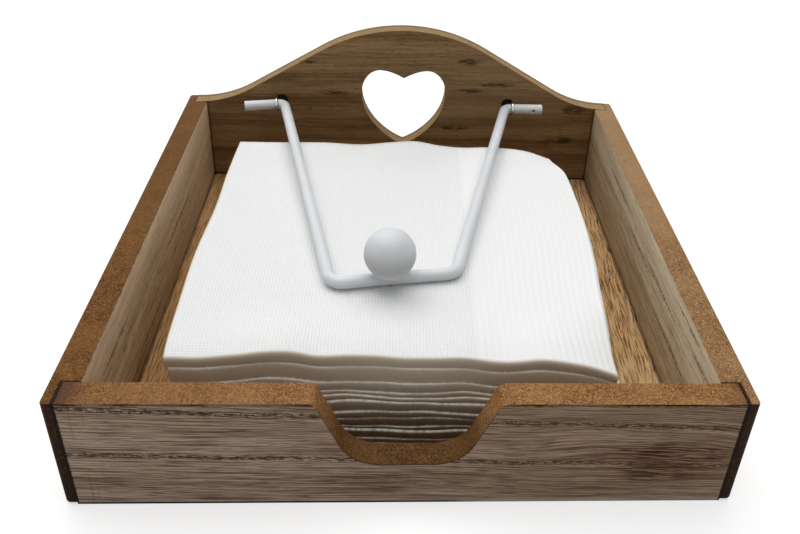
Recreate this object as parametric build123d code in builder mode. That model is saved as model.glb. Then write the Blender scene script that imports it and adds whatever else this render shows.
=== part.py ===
from build123d import *
import os
from math import atan2, cos, degrees, radians, sin, sqrt, tan

os.makedirs("parts", exist_ok=True)

# A square napkin tray of thin boards, with a wire arm that swings down from the back
# board and holds the stack with the weight of its ball. Millimetres, X to the right,
# Y to the back, Z up. The origin is on the table, in the middle of the tray.

# ---- driving dimensions ----

# the boards
tray_width = 190.0
tray_depth = 190.0
wall_height = 38.5          # front board, side boards and the low ends of the back board
side_thickness = 8.4
front_thickness = 8.0
back_thickness = 7.0
lip = 3.4                   # what stays of a side board outside the front and back boards
base_thickness = 2.0
base_ledge = 3.4            # how far the base panel is let in under each board
corner_round = 1.4          # sanded upright corners of the side boards
edge_round = 0.5            # sanded top edges
bottom_round = 1.2          # sanded lower outside edges of the side boards

# the wave of the back board: two straight slopes, rounded into a crest and two feet
crest_height = 73.4
crest_radius = 70.0
foot_radius = 48.0
wave_slope = 30.5           # degrees

# the heart in the back board
heart_half_width = 18.5
heart_widest = 44.5         # heights above the table
heart_top = 55.2
heart_dip = 51.7
heart_tip = 19.2
lobe_centre = 10.4

# the finger notch in the front board
notch_floor = 15.4
notch_floor_width = 30.6
notch_mouth_width = 50.0
notch_floor_round = 12.0
notch_mouth_round = 2.5

# the arm: a bent wire with its ends turned out to pivot in the two eyes
wire_diameter = 4.2
pivot_height = 40.1
pivot_standoff = 4.4        # from the face of the back board to the pivot line
left_eye_x = -55.3
right_eye_x = 48.2
bend_inset = 3.2            # from an eye to where a leg leaves the pivot line
left_stub_end = -68.9
right_stub_end = 61.4
left_stub_drop = 2.4        # the left end is bent a little out of the pivot line
left_corner_x = -24.4
right_corner_x = 16.6
left_reach = 121.2          # the legs aren't quite equal, so the front run lies askew
right_reach = 115.2
arm_droop = 2.8             # degrees, from level down to where the arm rests on the stack
pivot_bend = 3.3            # bend radii of the wire's centre line
corner_bend = 4.8
hang_hole_diameter = 1.5
hang_hole_from_end = 3.8

# the ball on the front run
ball_diameter = 16.8
ball_x = -5.3
saddle_depth = 0.25         # how deep the wire lies in the ball
stud_diameter = 2.0
stud_in_ball = 6.0

# the eyes: split pins of half-round wire through drilled holes, legs spread on the back
pin_diameter = 1.2          # of its two half-round legs together
eye_inside = 5.0
pin_gap = 0.1               # between the two legs
neck_radius = 0.9
tail_bend = 1.0
tail_length = 7.5
pin_hole_diameter = 5.5
pin_hole_inset = 1.7        # each hole lies a little nearer the middle than its eye

# the napkins, folded in four, each a soft packet with its fold to the front
napkin_count = 12
napkin_size = 131.0
napkin_x = -3.0
napkin_y = -5.5
napkin_turn = -1.0          # degrees
stack_top = 31.8
stack_lean = 3.2            # the lowest packet lies this much further forward
packet_shift = 0.7          # how unevenly the packets lie
fold_round = 0.48           # of the packet's thickness

# ---- worked out from them ----

half_width = tray_width / 2
half_depth = tray_depth / 2
end_board_width = tray_width - 2 * lip
back_face = half_depth - back_thickness
front_face = -half_depth
pivot_y = back_face - pivot_standoff
wire_radius = wire_diameter / 2
ball_radius = ball_diameter / 2
packet = (stack_top - base_thickness) / napkin_count

left_inner = -half_width + side_thickness
base_width = 2 * (base_ledge - left_inner)
base_front = front_face + front_thickness - base_ledge
base_back = back_face + base_ledge
base_depth = base_back - base_front
base_middle = (base_front + base_back) / 2

front_plane = Plane.XZ.offset(half_depth - front_thickness)
back_plane = Plane.XZ.offset(-half_depth)

# the plane of the bent wire: its X lies on the pivot line, its Y points back
tilt = radians(arm_droop)
arm_plane = Plane(
    origin=(0, pivot_y, pivot_height),
    x_dir=(1, 0, 0),
    z_dir=(0, -sin(tilt), cos(tilt)),
)


# ---- the tray ----

# the base panel is let into rebates along the lower inside edges of the boards
with BuildSketch() as base_outline:
    with Locations((0, base_middle)):
        Rectangle(base_width, base_depth)

with BuildPart() as base_panel:
    extrude(base_outline.sketch, amount=base_thickness)
base_panel.part.label = "base_panel"
export_step(base_panel.part, "parts/base_panel.step")


def side_board(hand):
    """A side board with a rebate at each end. hand is -1 on the left and 1 on the right."""
    middle = hand * (half_width - side_thickness / 2)
    rebate = side_thickness - lip
    rebate_x = hand * (half_width - lip - rebate / 2)

    def outer_edges(axis):
        """The edges of the outside face that run along an axis, the lowest first."""
        outside = board.faces().filter_by(Axis.X).sort_by(lambda f: hand * f.center().X)[-1]
        return outside.edges().filter_by(axis).sort_by(Axis.Z)

    with BuildPart() as board:
        with BuildSketch():
            with Locations((middle, 0)):
                Rectangle(side_thickness, tray_depth)
            with Locations((rebate_x, front_face + front_thickness / 2)):
                Rectangle(rebate, front_thickness, mode=Mode.SUBTRACT)
            with Locations((rebate_x, half_depth - back_thickness / 2)):
                Rectangle(rebate, back_thickness, mode=Mode.SUBTRACT)
        extrude(amount=wall_height)
        fillet(outer_edges(Axis.Z), corner_round)
        fillet(outer_edges(Axis.Y)[-1], edge_round)
        fillet(outer_edges(Axis.Y)[0], bottom_round)
        extrude(base_outline.sketch, amount=base_thickness, mode=Mode.SUBTRACT)
    return board


for side_name, hand in (("left_side", -1), ("right_side", 1)):
    side = side_board(hand)
    side.part.label = side_name
    export_step(side.part, f"parts/{side_name}.step")

with BuildPart() as front_board:
    with BuildSketch(front_plane) as front_outline:
        with BuildLine():
            Polyline(
                (-end_board_width / 2, 0),
                (-end_board_width / 2, wall_height),
                (-notch_mouth_width / 2, wall_height),
                (-notch_floor_width / 2, notch_floor),
                (notch_floor_width / 2, notch_floor),
                (notch_mouth_width / 2, wall_height),
                (end_board_width / 2, wall_height),
                (end_board_width / 2, 0),
                close=True,
            )
        make_face()
        fillet(front_outline.vertices().group_by(Axis.Y)[1], notch_floor_round)
        mouth = front_outline.vertices().group_by(Axis.Y)[-1].sort_by(Axis.X)[1:3]
        fillet(mouth, notch_mouth_round)
    extrude(amount=front_thickness)
    extrude(base_outline.sketch, amount=base_thickness, mode=Mode.SUBTRACT)
front_board.part.label = "front_board"
export_step(front_board.part, "parts/front_board.step")

# the slopes would meet above the crest, and the flat ends at the feet
slope = radians(wave_slope)
apex_height = crest_height + crest_radius * (1 / cos(slope) - 1)
foot_x = (apex_height - wall_height) / tan(slope)

with BuildPart() as back_board:
    with BuildSketch(back_plane) as back_outline:
        with BuildLine():
            Polyline(
                (-end_board_width / 2, 0),
                (-end_board_width / 2, wall_height),
                (-foot_x, wall_height),
                (0, apex_height),
                (foot_x, wall_height),
                (end_board_width / 2, wall_height),
                (end_board_width / 2, 0),
                close=True,
            )
        make_face()
        fillet(back_outline.vertices().sort_by(Axis.Y)[-1], crest_radius)
        feet = back_outline.vertices().filter_by(
            lambda v: abs(abs(v.X) - foot_x) < edge_round and v.Y > notch_floor
        )
        fillet(feet, foot_radius)
        with BuildLine() as heart:
            Bezier(
                (0, heart_tip),
                (0.43 * heart_half_width, heart_tip + 3.3),
                (heart_half_width, heart_widest - 12.5),
                (heart_half_width, heart_widest),
            )
            Bezier(
                (heart_half_width, heart_widest),
                (heart_half_width, heart_top - 4.8),
                (lobe_centre + 4.5, heart_top),
                (lobe_centre, heart_top),
            )
            Bezier(
                (lobe_centre, heart_top),
                (lobe_centre - 3.9, heart_top),
                (2.6, heart_dip + 1.4),
                (0, heart_dip),
            )
            mirror(about=Plane.YZ)
        make_face(mode=Mode.SUBTRACT)
        with Locations(
            (left_eye_x + pin_hole_inset, pivot_height),
            (right_eye_x - pin_hole_inset, pivot_height),
        ):
            Circle(pin_hole_diameter / 2, mode=Mode.SUBTRACT)
    extrude(amount=back_thickness)
    extrude(base_outline.sketch, amount=base_thickness, mode=Mode.SUBTRACT)
back_board.part.label = "back_board"
export_step(back_board.part, "parts/back_board.step")


# ---- the eyes ----

# the path is the middle of the wire's flat face, which lies inside the loop
loop_radius = eye_inside / 2
leg_height = pin_gap / 2
pin_radius = pin_diameter / 2
# the small arc that leads a leg into the loop touches both from outside
neck_height = leg_height + neck_radius
neck_y = sqrt((loop_radius + neck_radius) ** 2 - neck_height**2)
touch = Vector(neck_y, neck_height) * (loop_radius / (loop_radius + neck_radius))
tail_y = half_depth + pin_radius - pivot_y
tail_tip = leg_height + tail_length


def split_pin(eye_x):
    """One half-round wire from a tail on the back board, round the eye and back to the other."""
    eye_plane = Plane(origin=(eye_x, pivot_y, pivot_height), x_dir=(0, 1, 0), z_dir=(1, 0, 0))
    with BuildPart() as pin:
        with BuildLine(eye_plane) as wire:
            FilletPolyline(
                (tail_y, tail_tip), (tail_y, leg_height), (neck_y, leg_height), radius=tail_bend
            )
            RadiusArc((neck_y, leg_height), (touch.X, touch.Y), neck_radius)
            ThreePointArc((touch.X, touch.Y), (-loop_radius, 0), (touch.X, -touch.Y))
            RadiusArc((touch.X, -touch.Y), (neck_y, -leg_height), neck_radius)
            FilletPolyline(
                (neck_y, -leg_height), (tail_y, -leg_height), (tail_y, -tail_tip), radius=tail_bend
            )
        tail_plane = Plane(origin=wire.wire() @ 0, x_dir=(1, 0, 0), z_dir=wire.wire() % 0)
        with BuildSketch(tail_plane):
            Circle(pin_radius)
            with Locations((0, -pin_radius)):
                Rectangle(pin_diameter, pin_diameter, mode=Mode.SUBTRACT)
        sweep()
    return pin


for eye_name, eye_x in (("left_eye", left_eye_x), ("right_eye", right_eye_x)):
    eye = split_pin(eye_x)
    eye.part.label = eye_name
    export_step(eye.part, f"parts/{eye_name}.step")


# ---- the arm ----

left_bend_x = left_eye_x + bend_inset
right_bend_x = right_eye_x - bend_inset
stub_fall = left_stub_drop / (left_eye_x - left_stub_end)
run_angle = atan2(left_reach - right_reach, right_corner_x - left_corner_x)
ball_reach = left_reach - (ball_x - left_corner_x) * tan(run_angle)
run_plane = Plane(
    origin=arm_plane.from_local_coords((ball_x, -ball_reach, 0)),
    x_dir=arm_plane.from_local_coords((right_corner_x, -right_reach, 0))
    - arm_plane.from_local_coords((left_corner_x, -left_reach, 0)),
    z_dir=arm_plane.z_dir,
)
ball_lift = ball_radius + wire_radius - saddle_depth

with BuildPart() as arm_wire:
    with BuildLine(arm_plane) as centre_line:
        FilletPolyline(
            (left_stub_end, -left_stub_drop),
            (left_bend_x, stub_fall * bend_inset),
            (left_corner_x, -left_reach),
            (right_corner_x, -right_reach),
            (right_bend_x, 0),
            (right_stub_end, 0),
            radius=[pivot_bend, corner_bend, corner_bend, pivot_bend],
        )
    with BuildSketch(Plane(origin=centre_line.wire() @ 0, z_dir=centre_line.wire() % 0)):
        Circle(wire_radius)
    sweep()
    with BuildSketch(Plane.XZ.offset(-pivot_y)):
        with Locations((right_stub_end - hang_hole_from_end, pivot_height)):
            Circle(hang_hole_diameter / 2)
    extrude(amount=wire_diameter, both=True, mode=Mode.SUBTRACT)
    with BuildSketch(run_plane):
        Circle(stud_diameter / 2)
    extrude(amount=wire_diameter, both=True, mode=Mode.SUBTRACT)
arm_wire.part.label = "arm_wire"
export_step(arm_wire.part, "parts/arm_wire.step")

with BuildPart(run_plane.offset(ball_lift)) as ball_knob:
    Sphere(ball_radius)
    with BuildSketch(run_plane):
        Circle(stud_diameter / 2)
    extrude(amount=ball_lift - ball_radius + stud_in_ball, mode=Mode.SUBTRACT)
    with BuildSketch(Plane(origin=run_plane.origin, x_dir=run_plane.y_dir, z_dir=run_plane.x_dir)):
        Circle(wire_radius)
    extrude(amount=ball_radius, both=True, mode=Mode.SUBTRACT)
ball_knob.part.label = "ball_knob"
export_step(ball_knob.part, "parts/ball_knob.step")

# the stud is riveted through the run and ends flush with its underside
with BuildPart() as ball_stud:
    with BuildSketch(run_plane.offset(-wire_radius)):
        Circle(stud_diameter / 2)
    extrude(amount=wire_radius + ball_lift - ball_radius + stud_in_ball)
ball_stud.part.label = "ball_stud"
export_step(ball_stud.part, "parts/ball_stud.step")


# ---- the napkins ----


def napkin(level):
    """A folded napkin, level 0 at the bottom of the stack, with its rounded fold in front."""
    height = level / (napkin_count - 1)
    shift_x = packet_shift * sin(2.1 * level)
    shift_y = packet_shift * cos(3.4 * level) - stack_lean * (1 - height)
    seat = Plane(
        origin=(napkin_x + shift_x, napkin_y + shift_y, base_thickness + level * packet),
        x_dir=(cos(radians(napkin_turn)), sin(radians(napkin_turn)), 0),
        z_dir=(0, 0, 1),
    )
    with BuildPart() as packet_part:
        with BuildSketch(seat):
            Rectangle(napkin_size, napkin_size)
        extrude(amount=packet)
        fold = packet_part.edges().filter_by(GeomType.LINE).group_by(SortBy.LENGTH)[-1]
        front_pair = fold.filter_by(lambda e: abs(e.tangent_at(0).X) > 0.9).sort_by(Axis.Y)[:2]
        fillet(front_pair, fold_round * packet)
    return packet_part


for level in range(napkin_count):
    folded = napkin(level)
    folded.part.label = f"napkin_{level + 1:02d}"
    export_step(folded.part, f"parts/napkin_{level + 1:02d}.step")

print(f"arm from level: {degrees(tilt):.1f} degrees down, run askew {degrees(run_angle):.1f} degrees")
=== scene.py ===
import math

import bpy
import numpy as np
from mathutils import Matrix, Vector


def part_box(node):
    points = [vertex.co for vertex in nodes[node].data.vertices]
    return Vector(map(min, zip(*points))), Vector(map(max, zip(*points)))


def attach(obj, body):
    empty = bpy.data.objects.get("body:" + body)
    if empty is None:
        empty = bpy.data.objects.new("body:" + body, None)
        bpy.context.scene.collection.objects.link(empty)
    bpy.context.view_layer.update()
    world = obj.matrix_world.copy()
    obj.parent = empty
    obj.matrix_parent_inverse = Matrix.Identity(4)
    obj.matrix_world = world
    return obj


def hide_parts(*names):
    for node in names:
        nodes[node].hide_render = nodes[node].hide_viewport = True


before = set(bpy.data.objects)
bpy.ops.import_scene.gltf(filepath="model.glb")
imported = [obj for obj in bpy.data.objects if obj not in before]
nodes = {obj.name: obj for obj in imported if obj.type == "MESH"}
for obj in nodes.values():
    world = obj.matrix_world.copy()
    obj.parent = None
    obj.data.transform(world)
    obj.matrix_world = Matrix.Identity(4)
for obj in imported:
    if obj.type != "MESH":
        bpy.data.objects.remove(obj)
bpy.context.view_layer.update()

# A square tray of veneered board for napkins, with a wire arm whose ball weighs the stack down.
# Blender works in metres; the values here are in millimetres unless their note says otherwise.

mm = 0.001


def boxOf(name):  # the low and the high corner of a node's box
    return [np.array(corner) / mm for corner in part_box(name)]


trayLow, trayHigh = boxOf("left_side")
wallTop = trayHigh[2]
print("frame loaded with", len(nodes), "nodes")


# Shader maths

class Value:  # a shader socket that Python's own operators work on
    def __init__(self, tree, socket):
        self.tree, self.socket = tree, socket

    def math(self, operation, first, second=0.0):
        return self.tree.node("ShaderNodeMath", {"operation": operation}, {0: first, 1: second})

    def __add__(self, other):
        return self.math("ADD", self, other)

    def __sub__(self, other):
        return self.math("SUBTRACT", self, other)

    def __rsub__(self, other):
        return self.math("SUBTRACT", other, self)

    def __mul__(self, other):
        return self.math("MULTIPLY", self, other)

    def __truediv__(self, other):
        return self.math("DIVIDE", self, other)

    def __pow__(self, other):
        return self.math("POWER", self, other)

    def __abs__(self):
        return self.math("ABSOLUTE", self)

    def least(self, other):
        return self.math("MINIMUM", self, other)

    def most(self, other):
        return self.math("MAXIMUM", self, other)

    def sine(self):
        return self.math("SINE", self)

    __radd__ = __add__
    __rmul__ = __mul__


class Tree:  # the nodes of a material or of the world
    def __init__(self, owner):
        owner.use_nodes = True
        self.owner = owner
        self.made, self.links = owner.node_tree.nodes, owner.node_tree.links
        self.made.clear()

    def node(self, kind, settings=None, inputs=None, out=0):
        fresh = self.made.new(kind)
        for key, setting in (settings or {}).items():
            setattr(fresh, key, setting)
        for key, value in (inputs or {}).items():
            if isinstance(value, Value):
                self.links.new(value.socket, fresh.inputs[key])
            else:
                fresh.inputs[key].default_value = value
        return Value(self, fresh.outputs[out]) if len(fresh.outputs) else fresh

    def place(self):  # Object coordinates in millimetres
        metres = self.node("ShaderNodeTexCoord", out="Object")
        return self.node("ShaderNodeVectorMath", {"operation": "SCALE"}, {0: metres, "Scale": 1000.0})

    def normal(self):  # its three parts along the object's own axes
        return self.parts(self.node("ShaderNodeTexCoord", out="Normal"))

    def parts(self, vector):
        return [self.node("ShaderNodeSeparateXYZ", None, {0: vector}, out=axis) for axis in range(3)]

    def joined(self, x, y, z):
        return self.node("ShaderNodeCombineXYZ", None, {0: x, 1: y, 2: z})

    def noise(self, place, scale=1.0, detail=3.0, roughness=0.5, distortion=0.0):
        return self.node("ShaderNodeTexNoise", None, {
            "Vector": place, "Scale": scale, "Detail": detail,
            "Roughness": roughness, "Distortion": distortion})

    def smooth(self, value, start, end, low=0.0, high=1.0):  # an S curve from low to high
        return self.node("ShaderNodeMapRange", {"interpolation_type": "SMOOTHSTEP"}, {
            "Value": value, "From Min": start, "From Max": end, "To Min": low, "To Max": high})

    def mix(self, factor, first, second, blend="MIX"):
        return self.node("ShaderNodeMix", {"data_type": "RGBA", "blend_type": blend},
                         {0: factor, 6: first, 7: second}, out=2)

    def bump(self, height, depth):  # depth in millimetres for a height of 1
        return self.node("ShaderNodeBump", None, {
            "Strength": 1.0, "Distance": depth * mm, "Height": height})

    def finish(self, shader):
        self.node("ShaderNodeOutputMaterial", None, {"Surface": shader})
        return self.owner


def newTree(name):
    return Tree(bpy.data.materials.new(name))


def paint(red, green, blue):  # a screen colour as Blender's linear one
    shares = [channel / 255 for channel in (red, green, blue)]
    linear = [s / 12.92 if s <= 0.04045 else ((s + 0.055) / 1.055) ** 2.4 for s in shares]
    return (*linear, 1.0)


def dress(material, *names):
    for name in names:
        slots = nodes[name].data.materials
        slots.clear()
        slots.append(material)


# The boards

joint = {
    "side": boxOf("front_board")[1][0],     # where the front and back boards' ends meet the lips
    "front": boxOf("front_board")[1][1],    # inner face of the front board
    "back": boxOf("back_board")[0][1],      # inner face of the back board
    "inner": boxOf("right_side")[0][0],     # inner face of a side board
    "gap": 0.9,                             # width of the scorched line along a joint
}
# the colour of the scorched lines, also used for painted shadow at the front board's foot and round the
# holes
charAndShade = paint(30, 18, 10)


def fibreEdge(tree, place, look):
    # sawn edge of pressed fibre: fine grit and short pale fibres over broad, faint patches
    patches = tree.noise(place, 0.09, 4, 0.6)
    grit = tree.noise(place, 2.3, 2, 0.6)
    fibres = tree.noise(place, 1.0, 3, 0.7, 2.0)
    base = tree.mix(tree.smooth(grit, 0.36, 0.62), look["edgeDark"], look["edgeMid"])
    base = tree.mix(tree.smooth(fibres, 0.53, 0.6) * 0.6, base, look["edgeLight"])
    base = tree.mix(tree.smooth(fibres, 0.44, 0.38) * 0.45, base, look["edgeDark"])
    base = tree.mix(tree.smooth(patches, 0.4, 0.62) * 0.2, base, look["edgeLight"])
    return base, grit + fibres * 0.6


def blot(tree, along, across, centre, size):
    # 1 in the middle of a long spot, 0 past its edge
    u = (along - centre[0]) / size[0]
    v = (across - centre[1]) / size[1]
    return tree.smooth(u * u + v * v, 1.0, 0.1)


def veneer(tree, along, across, depth, look):
    # long soft bands, hair lines drawn along them, and the short dark dashes of open pores
    def layer(alongScale, acrossScale, detail, roughness=0.5):
        place = tree.joined(along * alongScale, across * acrossScale, depth * 0.01)
        return tree.noise(place, 1.0, detail, roughness)

    for centre, size, rise in look.get("swirls", ()):
        across = across - blot(tree, along, across, centre, size) * rise
    across = across - along * look["slope"]
    wave, ripple = layer(0.014, 0.06, 2), layer(look["ripple"], 0.25, 2)
    across = across + wave * look["wander"] + ripple * look["shake"]
    bands = layer(0.006, look["bands"], 3)
    hairs = layer(*look["hairs"], 4, 0.6)
    pores = layer(*look["pores"], 2)
    tone = tree.mix(tree.smooth(bands, 0.34, 0.66), look["dark"], look["light"])
    tone = tree.mix(tree.smooth(hairs, 0.5, 0.36) * look["lift"], tone, look["pale"])
    hair = tree.smooth(hairs, 0.52, 0.58)
    tone = tree.mix(hair * look["hairDepth"], tone, look["line"])
    pore = tree.smooth(pores, look["poreFrom"], look["poreFrom"] + 0.08)
    tone = tree.mix(pore * look["poreDepth"], tone, look["pore"])
    return tone, 0.5 - hair * 0.5 - pore


def apart(tree, x, y, jitter):
    # how far a point of a side board lies from the front and back boards' ends, which are boxes
    outside = (abs(x) - joint["side"]).most(0.0)
    nearest = (y - joint["front"]).most(0.0).least((joint["back"] - y).most(0.0))
    return (outside * outside + nearest * nearest) ** 0.5 + (jitter - 0.5) * 1.2


def board(name, look, marks):
    # veneer on the two faces that look along the facing axis, pressed fibre on the rest
    tree = newTree(name)
    place = tree.place()
    xyz = tree.parts(place)
    normal = tree.normal()
    facing = tree.smooth(abs(normal[look["facing"]]), 0.8, 0.95)
    along, across, depth = (xyz[axis] for axis in look["axes"])
    sheet, relief = veneer(tree, along, across, depth, look)
    edge, grit = fibreEdge(tree, place, look)
    sheet, edge = marks(tree, xyz, normal, sheet, edge, look)
    colour = tree.mix(facing, edge, sheet)
    height = relief * facing * look["relief"] + grit * (1 - facing)
    shader = tree.node("ShaderNodeBsdfPrincipled", None, {
        "Base Color": colour, "Roughness": woodSheen["roughness"],
        "Specular IOR Level": woodSheen["specular"], "Normal": tree.bump(height, woodSheen["relief"])})
    return tree.finish(shader)


woodSheen = {"roughness": 0.7, "specular": 0.08, "relief": 0.1}

# In each look, facing is the axis that the veneer looks along and axes are those along, across and
# through it. The grain leans by slope, wanders and shakes. Bands, hairs and pores have their scales,
# along and across; lift, hairDepth and poreDepth say how strong their tones are.
frontLook = {
    "facing": 1, "axes": (0, 2, 1), "slope": -0.035, "poreFrom": 0.55,
    "wander": 3.0, "ripple": 0.05, "shake": 0.8, "bands": 0.14, "hairs": (0.03, 3.0), "pores": (0.12, 2.8),
    "light": paint(194, 169, 148), "dark": paint(174, 149, 126), "pale": paint(218, 195, 174), "lift": 0.6,
    "line": paint(96, 69, 50), "hairDepth": 0.75, "pore": paint(84, 58, 42), "poreDepth": 0.5,
    "edgeLight": paint(190, 144, 92), "edgeMid": paint(150, 106, 64), "edgeDark": paint(92, 60, 32),
    "relief": 1.0, "fleck": paint(54, 32, 20), "stain": paint(126, 82, 54), "smoke": paint(74, 50, 42),
    "burnt": paint(66, 40, 23), "foot": paint(206, 200, 188), "olive": paint(128, 100, 68),
    "notchShade": (0.37, 0.355, 0.3, 1.0),
    # rows of flecks: height in the middle, slope, half width
    "rows": ((33.0, -0.0414, 2.0), (17.3, -0.0274, 1.8)),
    # brownish streaky patches: centre, half sizes and depth
    "patches": (((-2, 9), (28, 6), 0.5), ((76, 19.5), (28, 6), 1.0), ((72, 12), (22, 5), 0.9)),
    # where the grain bows upwards: centre, half sizes and by how much
    "swirls": (((66, 25), (34, 13), 2.2), ((-2, 9), (40, 10), 0.8)),
}


def frontMarks(tree, xyz, normal, sheet, edge, look):
    # two rows of dark flecks with the grain, streaky patches, reddish upright stains, a pale lower
    # rim with a painted contact shadow below it, a dark line under the top edge, scorched ends, and
    # painted shade in the notch, darker the deeper it goes
    x, y, z = xyz
    flecks = tree.noise(tree.joined(x * 0.42, z * 1.7 + x * 0.12, 0.0), 1.0, 3, 0.7)
    drift = tree.noise(tree.joined(x * 0.05, 0.0, 0.0), 1.0, 2)
    thick = tree.noise(tree.joined(x * 0.035, 5.0, 0.0), 1.0, 2)
    for height, slope, reach in look["rows"]:
        near = tree.smooth(abs(z - (height + x * slope) + (drift - 0.5) * 2.0), reach, 0.2)
        row = near * tree.smooth(flecks + near * 0.08 + thick * 0.16, 0.61, 0.68)
        sheet = tree.mix(row * 0.9, sheet, look["fleck"])
    sheet = tree.mix(tree.smooth(x + z, -30.0, 60.0) * 0.3, sheet, look["olive"])
    streaks = tree.noise(tree.joined(x * 0.08, z * 2.2 + x * 0.12, 3.0), 1.0, 3, 0.55)
    for centre, size, depth in look["patches"]:
        patch = blot(tree, x + (streaks - 0.5) * 30.0, z, centre, size) * depth
        sheet = tree.mix(patch * 0.35, sheet, look["stain"])
        sheet = tree.mix(patch * tree.smooth(streaks, 0.5, 0.525), sheet, look["burnt"])
    upright = tree.noise(tree.joined(x * 0.8, z * 0.03, 0.0), 1.0, 2)
    stain = tree.smooth(abs(x + 85.5), 5.0, 1.0) * tree.smooth(upright, 0.5, 0.66)
    sheet = tree.mix(stain * 0.35, sheet, look["stain"])
    sheet = tree.mix(tree.smooth(z, 1.7, 0.9) * 0.5, sheet, look["foot"])
    # painted contact shadow: the veneer's lowest strip goes dark on the left part of the board
    sheet = tree.mix(tree.smooth(z, 0.9, 0.5) * tree.smooth(x, 24.0, 8.0), sheet, charAndShade)
    topLine = tree.smooth(z + (flecks - 0.5) * 2.0, wallTop - 1.2, wallTop - 0.4)
    sheet = tree.mix(topLine * tree.smooth(thick, 0.44, 0.54, 0.45, 1.0), sheet, look["fleck"])
    ends = tree.smooth(abs(x) + (flecks - 0.5) * 0.8, joint["side"] - 0.7, joint["side"] - 0.3)
    sheet = tree.mix(ends, sheet, charAndShade)
    smoke = tree.smooth(x + (flecks - 0.5) * 6.0, -82.0, -91.0) * 0.8
    smoke = smoke + tree.smooth(x + (flecks - 0.5) * 3.0, 85.0, 91.0) * 0.35
    edge = tree.mix(tree.smooth(x, -10.0, -70.0) * 0.25, edge, look["edgeDark"])
    edge = tree.mix(smoke, edge, look["smoke"])
    edge = tree.mix(ends, edge, charAndShade)
    # painted shade: the notch's edges darken the deeper they go
    notchShadeMask = tree.smooth(z, wallTop - 3.0, wallTop - 18.0) * tree.smooth(abs(x), 60.0, 58.0)
    arris = tree.smooth(y, trayLow[1] + 0.6, trayLow[1] + 0.1)
    arris = arris * tree.smooth(z, wallTop - 1.0, wallTop - 3.0)
    edge = tree.mix(notchShadeMask, edge, look["notchShade"], "MULTIPLY")
    return sheet, tree.mix(arris * 0.85, edge, charAndShade)


backLook = {
    "facing": 1, "axes": (0, 2, 1), "slope": 0.01, "poreFrom": 0.58,
    "wander": 4.0, "ripple": 0.05, "shake": 1.0, "bands": 0.17, "hairs": (0.035, 1.0), "pores": (0.3, 1.6),
    "light": paint(158, 128, 90), "dark": paint(122, 93, 60), "pale": paint(172, 144, 106), "lift": 0.3,
    "line": paint(98, 72, 44), "hairDepth": 0.32, "pore": paint(66, 46, 26), "poreDepth": 0.35,
    "edgeLight": paint(186, 156, 114), "edgeMid": paint(162, 133, 94), "edgeDark": paint(122, 95, 62),
    "relief": 0.8, "spot": paint(46, 30, 16), "rear": paint(176, 150, 120), "rearEdge": paint(104, 90, 64),
    "clearing": ((40, 46), (45, 30)),               # a paler patch: centre and half sizes
    "holes": ((-53.6, 40.1), (46.5, 40.1)),         # where the pins go through
    # knots and cracks drawn out along the grain: centre and half sizes
    "spots": (((23.7, 27.9), (8, 1.6)), ((28.5, 60), (6, 2)), ((41.2, 49.5), (9, 1.4)),
              ((12.2, 31.7), (4, 1.2)), ((-40.7, 58.3), (4, 0.9)), ((29.4, 46.3), (7, 1.3)),
              ((72.6, 22.7), (10, 2.4)), ((77.6, 38.1), (7, 2.6)), ((-30, 44), (9, 1.2))),
}


def backMarks(tree, xyz, normal, sheet, edge, look):
    # dark knots and cracks along the grain, faint clouds and upright hatching, dark lines at the
    # floor and in the corners, scorched ends, and the rear face a little lighter
    x, y, z = xyz
    rough = tree.noise(tree.joined(x * 0.18, z * 0.8, 1.0), 1.0, 4, 0.65)
    hatch = tree.noise(tree.joined(x * 0.9, z * 0.06, 2.0), 1.0, 3, 0.6)
    low = tree.smooth(x - z, 0.0, 60.0)
    sheet = tree.mix(tree.smooth(hatch, 0.5, 0.68) * low * 0.25, sheet, look["line"])
    clouds = tree.noise(tree.joined(x * 0.05, z * 0.12, 4.0), 1.0, 3, 0.6)
    sheet = tree.mix(tree.smooth(clouds, 0.5, 0.64) * 0.15, sheet, look["spot"])
    sheet = tree.mix(blot(tree, x, z, *look["clearing"]) * 0.3, sheet, look["pale"])
    for centre, size in look["spots"]:
        spot = blot(tree, x + (rough - 0.5) * 12.0, z + (rough - 0.5) * 3.0, centre, size)
        sheet = tree.mix(spot * tree.smooth(rough, 0.35, 0.55) * 0.8, sheet, look["spot"])
    behind = tree.smooth(normal[1], 0.2, 0.6)
    sheet = tree.mix(behind * 0.4, sheet, look["rear"])
    seam = tree.smooth(z, 3.2, 2.3) * (1 - behind)
    sheet = tree.mix(seam * 0.8, sheet, look["spot"])
    ends = tree.smooth(abs(x) + (rough - 0.5) * 0.8, joint["side"] - 0.6, joint["side"] - 0.2) * 0.45
    rear = tree.smooth(y, trayHigh[1] - 2.4, trayHigh[1] - 1.6)
    edge = tree.mix(rear * 0.7, edge, look["rearEdge"])
    # round each hole the veneer goes dark: partly scorch from the drill, partly painted shade of the hole
    for hole in look["holes"]:
        sheet = tree.mix(blot(tree, x, z, hole, (2.9, 2.9)) * (1 - behind), sheet, charAndShade)
    corner = tree.smooth(abs(x), joint["inner"] - 1.2, joint["inner"] - 0.3) * (1 - behind)
    sheet = tree.mix(corner * 0.6, sheet, look["spot"])
    return tree.mix(ends, sheet, charAndShade), tree.mix(ends, edge, charAndShade)


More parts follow.
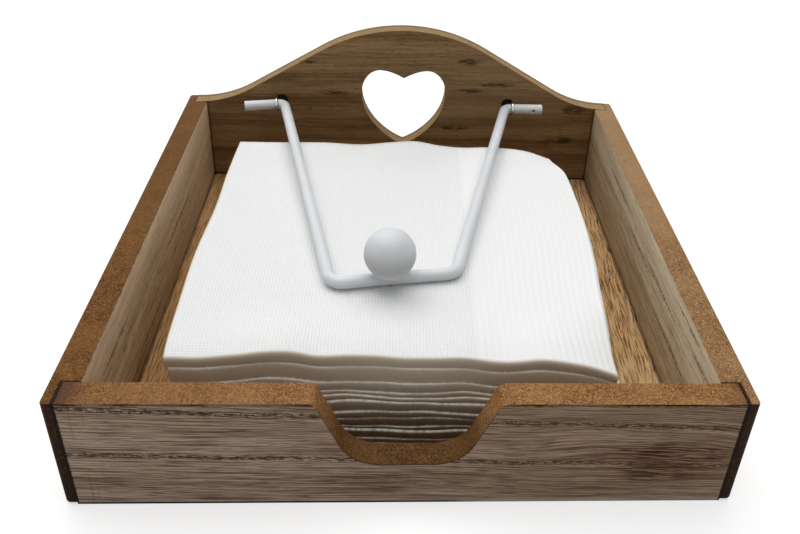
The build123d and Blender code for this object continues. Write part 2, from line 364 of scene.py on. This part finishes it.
sideLook = {
    "facing": 0, "axes": (1, 2, 0), "slope": 0.02, "poreFrom": 0.58,
    "wander": 3.5, "ripple": 0.05, "shake": 0.6, "bands": 0.16, "hairs": (0.03, 1.0), "pores": (0.14, 1.9),
    "light": paint(210, 192, 162), "dark": paint(182, 162, 132), "pale": paint(222, 206, 178), "lift": 0.4,
    "line": paint(146, 118, 86), "hairDepth": 0.5, "pore": paint(96, 70, 48), "poreDepth": 0.6,
    "relief": 0.8, "low": paint(146, 116, 82), "high": paint(238, 222, 192),
    "endScorchAndShade": (paint(32, 18, 11), paint(48, 29, 18), paint(100, 66, 42)),   # scorch and painted shade of the front ends: low, high, and in specks
}
leftLook = dict(
    sideLook, light=paint(220, 190, 150), dark=paint(190, 158, 120), edgeLight=paint(154, 108, 58),
    edgeMid=paint(110, 74, 36), edgeDark=paint(64, 38, 16), edgeFar=paint(104, 72, 38),
    far=paint(250, 226, 190), high=paint(252, 222, 190),
    # thin dark streaks: centre, back and up, and half sizes
    streaks=(((-61, 27), (18, 0.9)), ((-30, 8), (24, 0.9)), ((-45, 5.5), (14, 0.8)),
             ((20, 20), (30, 1.0))))
rightLook = dict(
    sideLook, edgeLight=paint(190, 152, 108), edgeMid=paint(148, 112, 74), edgeDark=paint(96, 66, 40),
    edgeFar=paint(160, 131, 97), light=paint(224, 206, 176), dark=paint(194, 173, 142),
    far=paint(130, 108, 80),
    streaks=(((-60, 34.6), (18, 0.8)), ((-30, 27.3), (28, 0.9)), ((-4, 25.4), (20, 0.9)),
             ((-73, 30), (14, 0.8)), ((-50, 17), (30, 0.9)), ((30, 31), (26, 1.0))))


def sideMarks(tree, xyz, normal, sheet, edge, look):
    # paler near the top, browner towards the floor and changing to the back, with thin dark streaks,
    # chips along the veneer's top edge, front ends dark from scorch and painted shade, scorched joint
    # lines
    x, y, z = xyz
    rough = tree.noise(tree.joined(y * 0.7, z * 0.7, x * 0.7), 1.0, 3, 0.6)
    sheet = tree.mix(tree.smooth(z + (rough - 0.5) * 8.0, 26.0, 4.0) * 0.5, sheet, look["low"])
    sheet = tree.mix(tree.smooth(z + (rough - 0.5) * 4.0, 24.0, 33.0) * 0.4, sheet, look["high"])
    sheet = tree.mix(tree.smooth(y, -40.0, 80.0) * 0.3, sheet, look["far"])
    for centre, size in look["streaks"]:
        streak = blot(tree, y, z + (rough - 0.5) * 2.4 + y * 0.01, centre, size)
        sheet = tree.mix(streak * tree.smooth(rough, 0.36, 0.5) * 0.7, sheet, look["pore"])
    sheet = tree.mix(tree.smooth(z, 3.3, 2.2) * 0.7, sheet, charAndShade)
    chips = tree.smooth(z + (rough - 0.5) * 1.6, wallTop - 0.6, wallTop - 0.3)
    chip = tree.mix(tree.smooth(rough, 0.46, 0.52), look["edgeDark"], look["pale"])
    sheet = tree.mix(chips * 0.6, sheet, chip)
    edge = tree.mix(tree.smooth(y, -40.0, 20.0) * 0.55, edge, look["edgeFar"])
    line = tree.smooth(apart(tree, x, y, rough), joint["gap"], joint["gap"] * 0.4)
    # scorch and painted shade: the faces that look forward go dark, darker towards the floor
    front = tree.smooth(normal[1], -0.4, -0.8)
    endScorchAndShade = tree.mix(tree.smooth(z, 12.0, 38.0), look["endScorchAndShade"][0], look["endScorchAndShade"][1])
    endScorchAndShade = tree.mix(tree.smooth(rough, 0.5, 0.65) * 0.3, endScorchAndShade, look["endScorchAndShade"][2])
    edge = tree.mix(front * 0.96, edge, endScorchAndShade)
    line = line * tree.smooth(y, 60.0, 50.0, 0.35, 0.97)
    edge = tree.mix(line, edge, charAndShade)
    return tree.mix(line, sheet, charAndShade), edge


baseLook = {
    "facing": 2, "axes": (1, 0, 2), "slope": 0.05, "poreFrom": 0.58,
    "wander": 3.5, "ripple": 0.1, "shake": 1.6, "bands": 0.12, "hairs": (0.09, 2.3), "pores": (0.2, 1.8),
    "light": paint(220, 180, 130), "dark": paint(196, 154, 104), "pale": paint(232, 198, 152), "lift": 0.6,
    "line": paint(112, 76, 42), "hairDepth": 0.9, "pore": paint(92, 60, 32), "poreDepth": 0.3,
    "edgeLight": paint(200, 156, 106), "edgeMid": paint(170, 128, 84), "edgeDark": paint(120, 82, 48),
    "relief": 1.4, "left": paint(176, 130, 80), "nearRight": paint(250, 222, 176),
}


def baseMarks(tree, xyz, normal, sheet, edge, look):
    # browner on the left, pale in the near right corner, dark along the walls
    x, y, z = xyz
    sheet = tree.mix(tree.smooth(x, -20.0, -80.0) * 0.45, sheet, look["left"])
    nearRight = tree.smooth(x, 50.0, 75.0) * tree.smooth(y, -20.0, -80.0)
    sheet = tree.mix(nearRight * 0.35, sheet, look["nearRight"])
    wall = tree.smooth(abs(x), joint["inner"] - 1.4, joint["inner"] - 0.2)
    back = tree.smooth(y, joint["back"] - 1.6, joint["back"] - 0.2)
    under = tree.smooth(normal[2], 0.2, -0.2)
    return tree.mix((wall * 0.6 + back * 0.4) * (1 - under), sheet, charAndShade), edge


dress(board("frontVeneer", frontLook, frontMarks), "front_board")
dress(board("backVeneer", backLook, backMarks), "back_board")
dress(board("leftVeneer", leftLook, sideMarks), "left_side")
dress(board("rightVeneer", rightLook, sideMarks), "right_side")
dress(board("floorVeneer", baseLook, baseMarks), "base_panel")
print("boards finished")


# The arm, its eyes and discs of painted shade in the holes

eyes = {side: boxOf(side + "_eye") for side in ("left", "right")}
# under is the grey of the painted shade round the lower half
armLook = {"paint": paint(218, 221, 224), "shade": paint(213, 216, 219), "roughness": 0.4,
           "under": paint(150, 148, 147), "paintedTipLight": paint(250, 246, 239), "tipFrom": (82.0, 87.0)}
steelLook = {
    "metal": paint(206, 204, 200), "dull": paint(150, 146, 140), "roughness": 0.2,
    "neckShade": paint(30, 26, 22),   # painted shade on the necks of the pins, in the holes
    "ring": 1.9,                    # how wide the rings are
}


def lacquer(name, shade):
    # sprayed satin paint: a faint orange peel, slightly greyer clouds, painted shade round the lower
    # half, and painted light that whitens the tips of the wire
    tree = newTree(name)
    place = tree.place()
    clouds = tree.noise(place, 0.12, 3)
    peel = tree.noise(place, 1.6, 2)
    colour = tree.mix(tree.smooth(clouds, 0.35, 0.65), armLook["shade"], armLook["paint"])
    upward = tree.normal()[2]
    # painted shade: grey round the lower half, weaker at the very bottom
    paintedShadeBelow = tree.smooth(upward, 0.5, -0.25) * tree.smooth(upward, -0.85, -0.35, 0.1, 1.0)
    colour = tree.mix(paintedShadeBelow * shade, colour, armLook["under"])
    # painted light: the wire's ends made whiter where they reach the eyes
    paintedTipLight = tree.smooth(tree.parts(place)[1], *armLook["tipFrom"])
    colour = tree.mix(paintedTipLight, colour, armLook["paintedTipLight"])
    shader = tree.node("ShaderNodeBsdfPrincipled", None, {
        "Base Color": colour, "Roughness": armLook["roughness"], "Normal": tree.bump(peel, 0.008)})
    return tree.finish(shader)


def drawnSteel():
    # bright drawn wire with fine scratches, and painted shade darkening its necks in the holes
    tree = newTree("drawnSteel")
    place = tree.place()
    scratches = tree.noise(place, 4.0, 4, 0.7)
    colour = tree.mix(tree.smooth(scratches, 0.4, 0.7), steelLook["metal"], steelLook["dull"])
    x, y, z = tree.parts(place)
    fromLeft = x - (eyes["left"][0][0] + steelLook["ring"])
    inward = fromLeft.least((eyes["right"][1][0] - steelLook["ring"]) - x)
    # painted shade: the necks go dark where they pass into the holes
    neckShadeMask = tree.smooth(inward, 0.0, 0.4) * tree.smooth(y, trayHigh[1], trayHigh[1] - 0.5)
    colour = tree.mix(neckShadeMask, colour, steelLook["neckShade"])
    shader = tree.node("ShaderNodeBsdfPrincipled", None, {
        "Base Color": colour, "Metallic": 1.0,
        "Roughness": scratches * 0.2 + (steelLook["roughness"] - 0.1),
        "Normal": tree.bump(scratches, 0.01)})
    return tree.finish(shader)


holeShadeLook = {
    "radius": 2.68,         # the painted shade fills the hole, just inside its wall
    "front": 91.6,          # the faces lie a little inside the board's
    "back": 94.2,
    "face": ((0.02, 0.27), (0.5, 0.2), (0.9, 0.05), (1.0, 0.0)),    # share of the radius, hollow
    "around": 40,           # grid steps round the hole
    "colour": paint(26, 20, 15),
}


def makeHoleShade(name, centre):
    # a dark disc of painted shade, turned about the hole: its outline runs out from the middle of one
    # face, along the rim and in to the middle of the other, both faces a little hollow
    out, hollow = np.array(holeShadeLook["face"]).T
    radius = np.concatenate([out, out[::-1]]) * holeShadeLook["radius"]
    depth = np.concatenate([holeShadeLook["front"] + hollow, holeShadeLook["back"] - hollow[::-1]])
    angle, row = np.meshgrid(np.arange(holeShadeLook["around"]) * 2 * math.pi / holeShadeLook["around"],
                             np.arange(len(radius)), indexing="ij")
    points = np.stack([centre[0] + radius[row] * np.sin(angle), depth[row],
                       centre[1] + radius[row] * np.cos(angle)], axis=-1)
    index = np.arange(row.size).reshape(row.shape)
    ahead = np.roll(index, -1, axis=0)
    quads = np.stack([index[:, :-1], ahead[:, :-1], ahead[:, 1:], index[:, 1:]], axis=-1).reshape(-1, 4)
    mesh = bpy.data.meshes.new(name)
    middles = [index[:, 0].tolist(), index[::-1, -1].tolist()]
    mesh.from_pydata(points.reshape(-1, 3) * mm, [], quads.tolist() + middles)
    mesh.shade_smooth()
    disc = bpy.data.objects.new(name, mesh)
    bpy.context.scene.collection.objects.link(disc)
    return disc


def holeShadeMaterial():
    # near black: the painted shade inside the holes
    tree = newTree("holeShadeMaterial")
    grain = tree.noise(tree.place(), 3.0, 2)
    shader = tree.node("ShaderNodeBsdfPrincipled", None, {
        "Base Color": holeShadeLook["colour"], "Roughness": 0.6, "Normal": tree.bump(grain, 0.05)})
    return tree.finish(shader)


holeShade = holeShadeMaterial()
for side, centre in zip(("left", "right"), backLook["holes"]):
    disc = makeHoleShade(side + "_hole_shade", centre)
    disc.data.materials.append(holeShade)
    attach(disc, "tray")

dress(lacquer("wireLacquer", 0.2), "arm_wire")
dress(lacquer("ballLacquer", 0.6), "ball_knob")
dress(drawnSteel(), "left_eye", "right_eye", "ball_stud")
print("arm finished")


# The napkins

napkin = {
    "side": 131.0,          # of the folded packet; the sheet is twice as long each way
    "turn": -1.0,           # degrees
    "paperShare": 0.86,     # of the leaf pitch that is paper
    "step": 0.5,            # between grid columns, small enough for the ripples
    "rows": 12,             # from the fold in front to the free edge at the back
    "topRows": 38,          # the same on the top napkin
    "bendRows": 16,         # round the fold in front
    "bendColumns": 8,       # round the fold at the right
    # how far each fold stands out past the one above, and the heights that they are pressed to
    "ledge": (0.6, 0.3, 0.9, 0.4, 0.25, 0.6, 0.7, 0.7, 0.5, 0.45, 0.3, 0.0),
    "pressed": (2.0, 2.9, 4.5, 7.5, 8.3, 11.2, 13.1, 16.4, 17.7, 18.9, 22.1, 27.8, 31.8),
    "nose": 0.35,           # how flat the upper half of a fold is pressed, 1 being round
    "topNose": 0.75,
    "chin": 0.12,           # the same of its lower half
    "ripple": 0.02,         # of the paper along a fold
    "waves": ((0.4, 8.0, 2.1), (0.15, 3.1, 3.0)),   # of the folds: height, lengths across and upward
    "swell": (0.25, 13.0, 17.0),                    # of the top: height, lengths across and back
    "droop": 0.8,           # of the top fold's front edge
    "slump": 2.2,           # of the lower napkins' front left corners, to the right
    "frontZone": (-44.0, -69.0),    # from where the front rises or dips to where it does so fully
    "backZone": (40.0, 60.0),
    "droopZone": (-63.0, -70.0),
}
topLow, topHigh = boxOf("napkin_12")
topMiddle, stackTop, stackFoot = (topLow + topHigh) / 2, topHigh[2], boxOf("napkin_01")[0][2]
levels = np.linspace(stackFoot, stackTop, len(napkin["pressed"]))

# how the loose stack stands off its plain box: (place, offset) pairs along each side of its top
frontRise = ((-71, -0.1), (-60, 0.1), (-48, 1.8), (-36, 3.0), (-26, 1.6), (-15, 2.2), (1, 1.1),
             (18, 1.6), (28, 0.1), (39, 1.2), (51, -0.7), (58, -3.2), (64, -6.2))
backRise = ((-70, 0.8), (-54, 1.0), (-33, 1.5), (-17, 1.1), (-4, 2.6), (5, 3.2), (15, 1.5),
            (23, 0.8), (38, 1.2), (54, -0.4), (63, -3.4))
rightBulge = ((-73, 2.4), (-66, 1.9), (-42, 1.9), (-14, 4.0), (20, 4.2), (45, 2.4), (61, -1.0))
leftBulge = ((-70, 0.0), (-45, -1.0), (-22, -1.8), (15, -0.9), (38, -1.3), (62, -0.4))


def ease(value, start, end):  # an S curve from 0 at start to 1 at end
    t = np.clip((value - start) / (end - start), 0.0, 1.0)
    return t * t * (3 - 2 * t)


def curve(pairs, place):  # a smooth curve through the pairs: cubics that share their slopes
    at, offset = np.array(pairs).T
    slope = np.gradient(offset, at)
    span = np.clip(np.searchsorted(at, place) - 1, 0, len(at) - 2)
    width = at[span + 1] - at[span]
    t = np.clip((place - at[span]) / width, 0.0, 1.0)
    start = (1 + 2 * t) * (1 - t) ** 2 * offset[span] + t * (1 - t) ** 2 * width * slope[span]
    return start + t * t * (3 - 2 * t) * offset[span + 1] - t * t * (1 - t) * width * slope[span + 1]


def settle(x, y, z):
    # Each height moves to where the folds are pressed in front, the sides bulge with height, and
    # the top rises and droops along its edges. Heights keep their order, so no leaf meets another.
    share = np.maximum(z - stackFoot, 0) / (stackTop - stackFoot)
    front, back = ease(y, *napkin["frontZone"]), ease(y, *napkin["backZone"])
    pressed = np.interp(z, levels, napkin["pressed"])
    waves = sum(high * np.sin(x / wide + z / tall) for high, wide, tall in napkin["waves"])
    pressed += waves * np.sin(math.pi * share)
    lift = front * curve(frontRise, x) + back * curve(backRise, x)
    high, wide, deep = napkin["swell"]
    lift -= high * np.sin(x / wide + 1.0) * np.sin(y / deep) * (1 - front) * (1 - back)
    droop = napkin["droop"] * ease(y, *napkin["droopZone"]) * share ** 12
    upper = ease(share, -0.2, 0.8)
    moved = ease(x, 10, 62) * curve(rightBulge, y) * upper
    moved = moved + ease(x, -20, -69) * curve(leftBulge, y) * upper
    slump = napkin["slump"] * ease(share, 0.8, 0.5) * ease(x, -52, -69) * front
    return x + moved + slump, y, z + (pressed - z) * front + lift * share ** 1.5 - droop


def foldedSheet(number):
    # The sheet's u runs across the outer fold, in front, and its v across the inner one, at the
    # right. A point follows the outer fold's path, forward, round a squared half circle and back
    # on top. It stands off it by half a leaf, up or down, along a smaller half circle where v crosses
    # the inner fold. Both faces of the paper lie half its thickness from that.
    name = f"napkin_{number:02d}"
    low, high = boxOf(name)
    pitch = (high[2] - low[2]) / 4
    side, isTop = napkin["side"], number == len(napkin["ledge"])
    bendU, bendV = math.pi * pitch / 2, math.pi * pitch / 4
    columns = np.linspace(bendV, side, int((side - bendV) / napkin["step"]))
    v = np.concatenate([-columns[::-1], np.linspace(-bendV, bendV, napkin["bendColumns"])[1:-1], columns])
    rows = np.linspace(0, 1, napkin["topRows"] if isTop else napkin["rows"])
    run = bendU + (side - bendU) * (rows if isTop else rows ** 1.5)
    u = np.concatenate([-run[::-1], np.linspace(-bendU, bendU, napkin["bendRows"])[1:-1], run])
    u, v = np.meshgrid(u, v, indexing="ij")
    angleU = np.clip(u / pitch, -math.pi / 2, math.pi / 2)
    angleV = np.clip(v / (pitch / 2), -math.pi / 2, math.pi / 2)
    reach = sum(napkin["ledge"][number - 1:]) + 0.12 * np.sin(v / 5.3 + number) + 0.06 * np.sin(v / 1.9)
    flatness = np.where(u > 0, napkin["chin"], napkin["topNose"] if isTop else napkin["nose"])
    uneven = 0.5 * np.sin(1.7 * number + 2.0 * np.tanh(u / 20) + np.tanh(v / 20))

    turn = math.radians(napkin["turn"])
    middle = (low + high) / 2
    reach += middle[1] - topMiddle[1]
    faces = []
    for half in (-0.5, 0.5):
        radius = pitch / 2 + half * pitch * napkin["paperShare"]
        off = radius * np.sin(angleV)
        x = side / 2 - pitch / 2 + radius * np.cos(angleV) - (np.abs(v) - bendV).clip(0)
        nose = (pitch + off) * np.cos(angleU) ** flatness
        y = 1.5 * pitch - side / 2 - nose + (np.abs(u) - bendU).clip(0)
        z = 2 * pitch - (pitch + off) * np.sin(angleU)
        y = y - reach * ease(np.abs(u), 60, 0) + uneven * (np.abs(u) / side) ** 2
        x = x - uneven * (np.abs(v) / side) ** 2
        atX = middle[0] + x * math.cos(turn) - y * math.sin(turn)
        atY = middle[1] + x * math.sin(turn) + y * math.cos(turn)
        crimp = np.sin(atX * 3.0 + 0.8 * np.sin(atX / 6.0)) * ease(np.abs(u), 2.5, 0.8)
        faces.append(np.stack(settle(atX, atY, low[2] + z + napkin["ripple"] * crimp), axis=-1))

    # the two faces, then a strip round their shared border
    count = u.size
    index = np.arange(count).reshape(u.shape)
    quads = np.stack([index[:-1, :-1], index[1:, :-1], index[1:, 1:], index[:-1, 1:]], axis=-1)
    rim = np.concatenate([index[:-1, 0], index[-1, :-1], index[:0:-1, -1], index[0, :0:-1]])
    ahead = np.roll(rim, -1)
    strip = np.stack([rim, ahead, ahead + count, rim + count], axis=-1)
    quads = quads.reshape(-1, 4)
    allQuads = np.concatenate([quads[:, ::-1] + count, quads, strip[:, ::-1]])
    mesh = bpy.data.meshes.new(name + "_sheet")
    points = np.concatenate([face.reshape(-1, 3) for face in faces]) * mm
    mesh.from_pydata(points, [], allQuads.tolist())
    flatPlaces = np.stack([u.ravel(), v.ravel()], axis=-1) / (2 * side) + 0.5
    mesh.uv_layers.new(name="flatCloth").data.foreach_set(
        "uv", np.tile(flatPlaces, (2, 1))[allQuads.reshape(-1)].ravel())
    mesh.shade_smooth()
    sheet = bpy.data.objects.new(name + "_sheet", mesh)
    bpy.context.scene.collection.objects.link(sheet)
    return sheet


paperLook = {
    # hollow is the painted shade in the embossed dots
    "white": paint(240, 241, 240), "hollow": paint(205, 208, 208), "edge": paint(226, 214, 192),
    # the upper side of the ledges in front, and the painted shade on the folds above and below
    "ledge": paint(242, 237, 228), "fold": paint(204, 191, 170), "foldLow": paint(84, 66, 48),
    "dots": 0.99985,        # pitch of the dot embossing
    "stripes": 2.1,         # pitch of the stripes beside the right-hand fold
    "stripeBand": 40.0,     # how far they reach from it
    "depth": 0.13,
    "lowRight": (44.0, 64.0, 5.5),      # where the stack's top dips at the right, and by how much
}


def tissue():
    # soft crepe, embossed with slanting rows of dots, and with stripes beside the fold
    tree = newTree("napkinTissue")
    flatPlace = tree.node("ShaderNodeUVMap", {"uv_map": "flatCloth"})
    u, v = (part * (2 * napkin["side"]) - napkin["side"] for part in tree.parts(flatPlace)[:2])
    turnBy = math.pi / paperLook["dots"]
    dots = tree.smooth(((u + v) * turnBy).sine() * ((u - v) * turnBy).sine(), 0.1, 0.8)
    lines = (v * (2 * math.pi / paperLook["stripes"])).sine()
    band = tree.smooth(abs(v), paperLook["stripeBand"] + 1.0, paperLook["stripeBand"] - 1.0)
    crepe = tree.noise(tree.joined(u, v, 0.0), 0.7, 4, 0.65)
    x, y, z = tree.parts(tree.place())
    emboss = (0.0 - dots) * (1 - band) + lines * band * 0.4 + crepe * 0.5
    emboss = emboss * tree.smooth(abs(u), 0.8, 1.6)
    margin = tree.smooth(abs(u).most(abs(v)), napkin["side"] - 0.8, napkin["side"] - 0.1)
    # painted shade: the embossed dots a little darker
    colour = tree.mix(dots * (1 - band) * 0.16, paperLook["white"], paperLook["hollow"])
    colour = tree.mix(margin * 0.8, colour, paperLook["edge"])
    # The folds in front get a warm painted shade, darker towards the bottom of the stack. On top it
    # fades in slowly, also at the right, where the stack is lower.
    dipFrom, dipTo, dip = paperLook["lowRight"]
    z = z + tree.smooth(x, dipFrom, dipTo) * dip
    fadeFrom = tree.smooth(z, 28.0, 31.0, 0.85, 1.3)
    fold = tree.mix(tree.smooth(z, 29.0, 7.0), paperLook["fold"], paperLook["foldLow"])
    jagged = tree.smooth(tree.noise(tree.joined(v * 0.5, z * 0.3, 0.0), 1.0, 4, 0.7), 0.42, 0.62)
    # the ledges get some of the painted shade too, more of it deep down
    ledge = tree.mix(tree.smooth(z, 31.0, 12.0, 0.0, 0.3) + jagged * 0.35, paperLook["ledge"], fold)
    colour = tree.mix(tree.smooth(abs(u), 3.0, 1.0) * tree.smooth(z, 31.0, 29.0), colour, ledge)
    colour = tree.mix(tree.smooth(abs(u), fadeFrom, 0.4) * 0.95, colour, fold)
    shader = tree.node("ShaderNodeBsdfPrincipled", None, {
        "Base Color": colour, "Roughness": 0.85, "Specular IOR Level": 0.15,
        "Normal": tree.bump(emboss, paperLook["depth"])})
    return tree.finish(shader)


paper = tissue()
for number in range(1, len(napkin["ledge"]) + 1):
    sheet = foldedSheet(number)
    sheet.data.materials.append(paper)
    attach(sheet, "tray")
    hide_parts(f"napkin_{number:02d}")
print("napkins folded")


# Floor, light and camera

stageLook = {
    "floorSide": 6.0,       # metres
    "drop": 0.0001,         # metres that it lies below the object
    "bounce": 0.55,         # how much light the floor gives back to the object
    "white": 0.5,           # the floor as the camera sees it: its own tone and its glow
    "glow": 0.6,
    "fill": 0.28,           # light from all round
    # soft lamps: strength, spread, height above the floor and turn to the left of straight behind
    "lamps": {"overhead": (1.98, 70, 78, 0), "window": (0.6, 60, 38, 45)},
}


def seen(tree):  # 1 for the camera, for reflections and through glass
    camera, glossy, through = (tree.node("ShaderNodeLightPath", out=name) for name in
                               ("Is Camera Ray", "Is Glossy Ray", "Is Transmission Ray"))
    return (camera + glossy + through).least(1.0)


def paleFloor():
    tree = newTree("paleFloor")
    plain, bright = (tree.node("ShaderNodeBsdfDiffuse", None, {"Color": (stageLook[tone],) * 3 + (1.0,)})
                     for tone in ("bounce", "white"))
    glow = tree.node("ShaderNodeEmission", None, {"Color": (1, 1, 1, 1), "Strength": stageLook["glow"]})
    white = tree.node("ShaderNodeAddShader", None, {0: bright, 1: glow})
    return tree.finish(tree.node("ShaderNodeMixShader", None, {0: seen(tree), 1: plain, 2: white}))


def makeStage():
    half = stageLook["floorSide"] / 2
    mesh = bpy.data.meshes.new("floor")
    mesh.from_pydata([(-half, -half, 0), (half, -half, 0), (half, half, 0), (-half, half, 0)],
                     [], [(0, 1, 2, 3)])
    floor = bpy.data.objects.new("floor", mesh)
    floor.location.z = -stageLook["drop"]
    mesh.materials.append(paleFloor())
    bpy.context.scene.collection.objects.link(floor)

    world = bpy.data.worlds.new("studio")
    tree = Tree(world)
    strength = seen(tree) * (1 - stageLook["fill"]) + stageLook["fill"]
    light = tree.node("ShaderNodeBackground", None, {"Color": (1, 1, 1, 1), "Strength": strength})
    tree.node("ShaderNodeOutputWorld", None, {"Surface": light})
    bpy.context.scene.world = world

    for name, (strength, spread, height, side) in stageLook["lamps"].items():
        lamp = bpy.data.lights.new(name, "SUN")
        lamp.energy, lamp.angle = strength, math.radians(spread)
        holder = bpy.data.objects.new(name, lamp)
        holder.matrix_world = (Matrix.Rotation(math.radians(side), 4, "Z")
                               @ Matrix.Rotation(math.radians(height - 90), 4, "X"))
        bpy.context.scene.collection.objects.link(holder)


view = {
    "place": (-6.1, -255.3, 199.8),
    "yaw": -3.82, "pitch": 31.60, "roll": -2.82,    # degrees
    "focal": 843.1,                                  # pixels of an 800 by 534 picture
    "middle": (436.2, 202.1),                        # pixel that the lens points at
    "picture": (800, 534),
    "sensor": 36.0,
}


def makeCamera():
    camera = bpy.data.cameras.new("view")
    width, height = view["picture"]
    camera.sensor_width = view["sensor"]
    camera.lens = view["focal"] / width * camera.sensor_width
    camera.shift_x = (width / 2 - view["middle"][0]) / width
    camera.shift_y = (view["middle"][1] - height / 2) / width
    camera.clip_start = 0.01
    eye = bpy.data.objects.new("view", camera)
    turn = (Matrix.Rotation(math.radians(view["yaw"]), 4, "Z")
            @ Matrix.Rotation(math.radians(-view["pitch"]), 4, "X")
            @ Matrix.Rotation(math.radians(view["roll"]), 4, "Y")
            @ Matrix.Rotation(math.radians(90), 4, "X"))
    eye.matrix_world = Matrix.Translation(Vector(view["place"]) * mm) @ turn
    bpy.context.scene.collection.objects.link(eye)
    bpy.context.scene.camera = eye
    bpy.context.scene.view_settings.view_transform = "Standard"


makeStage()
makeCamera()
print("stage set")
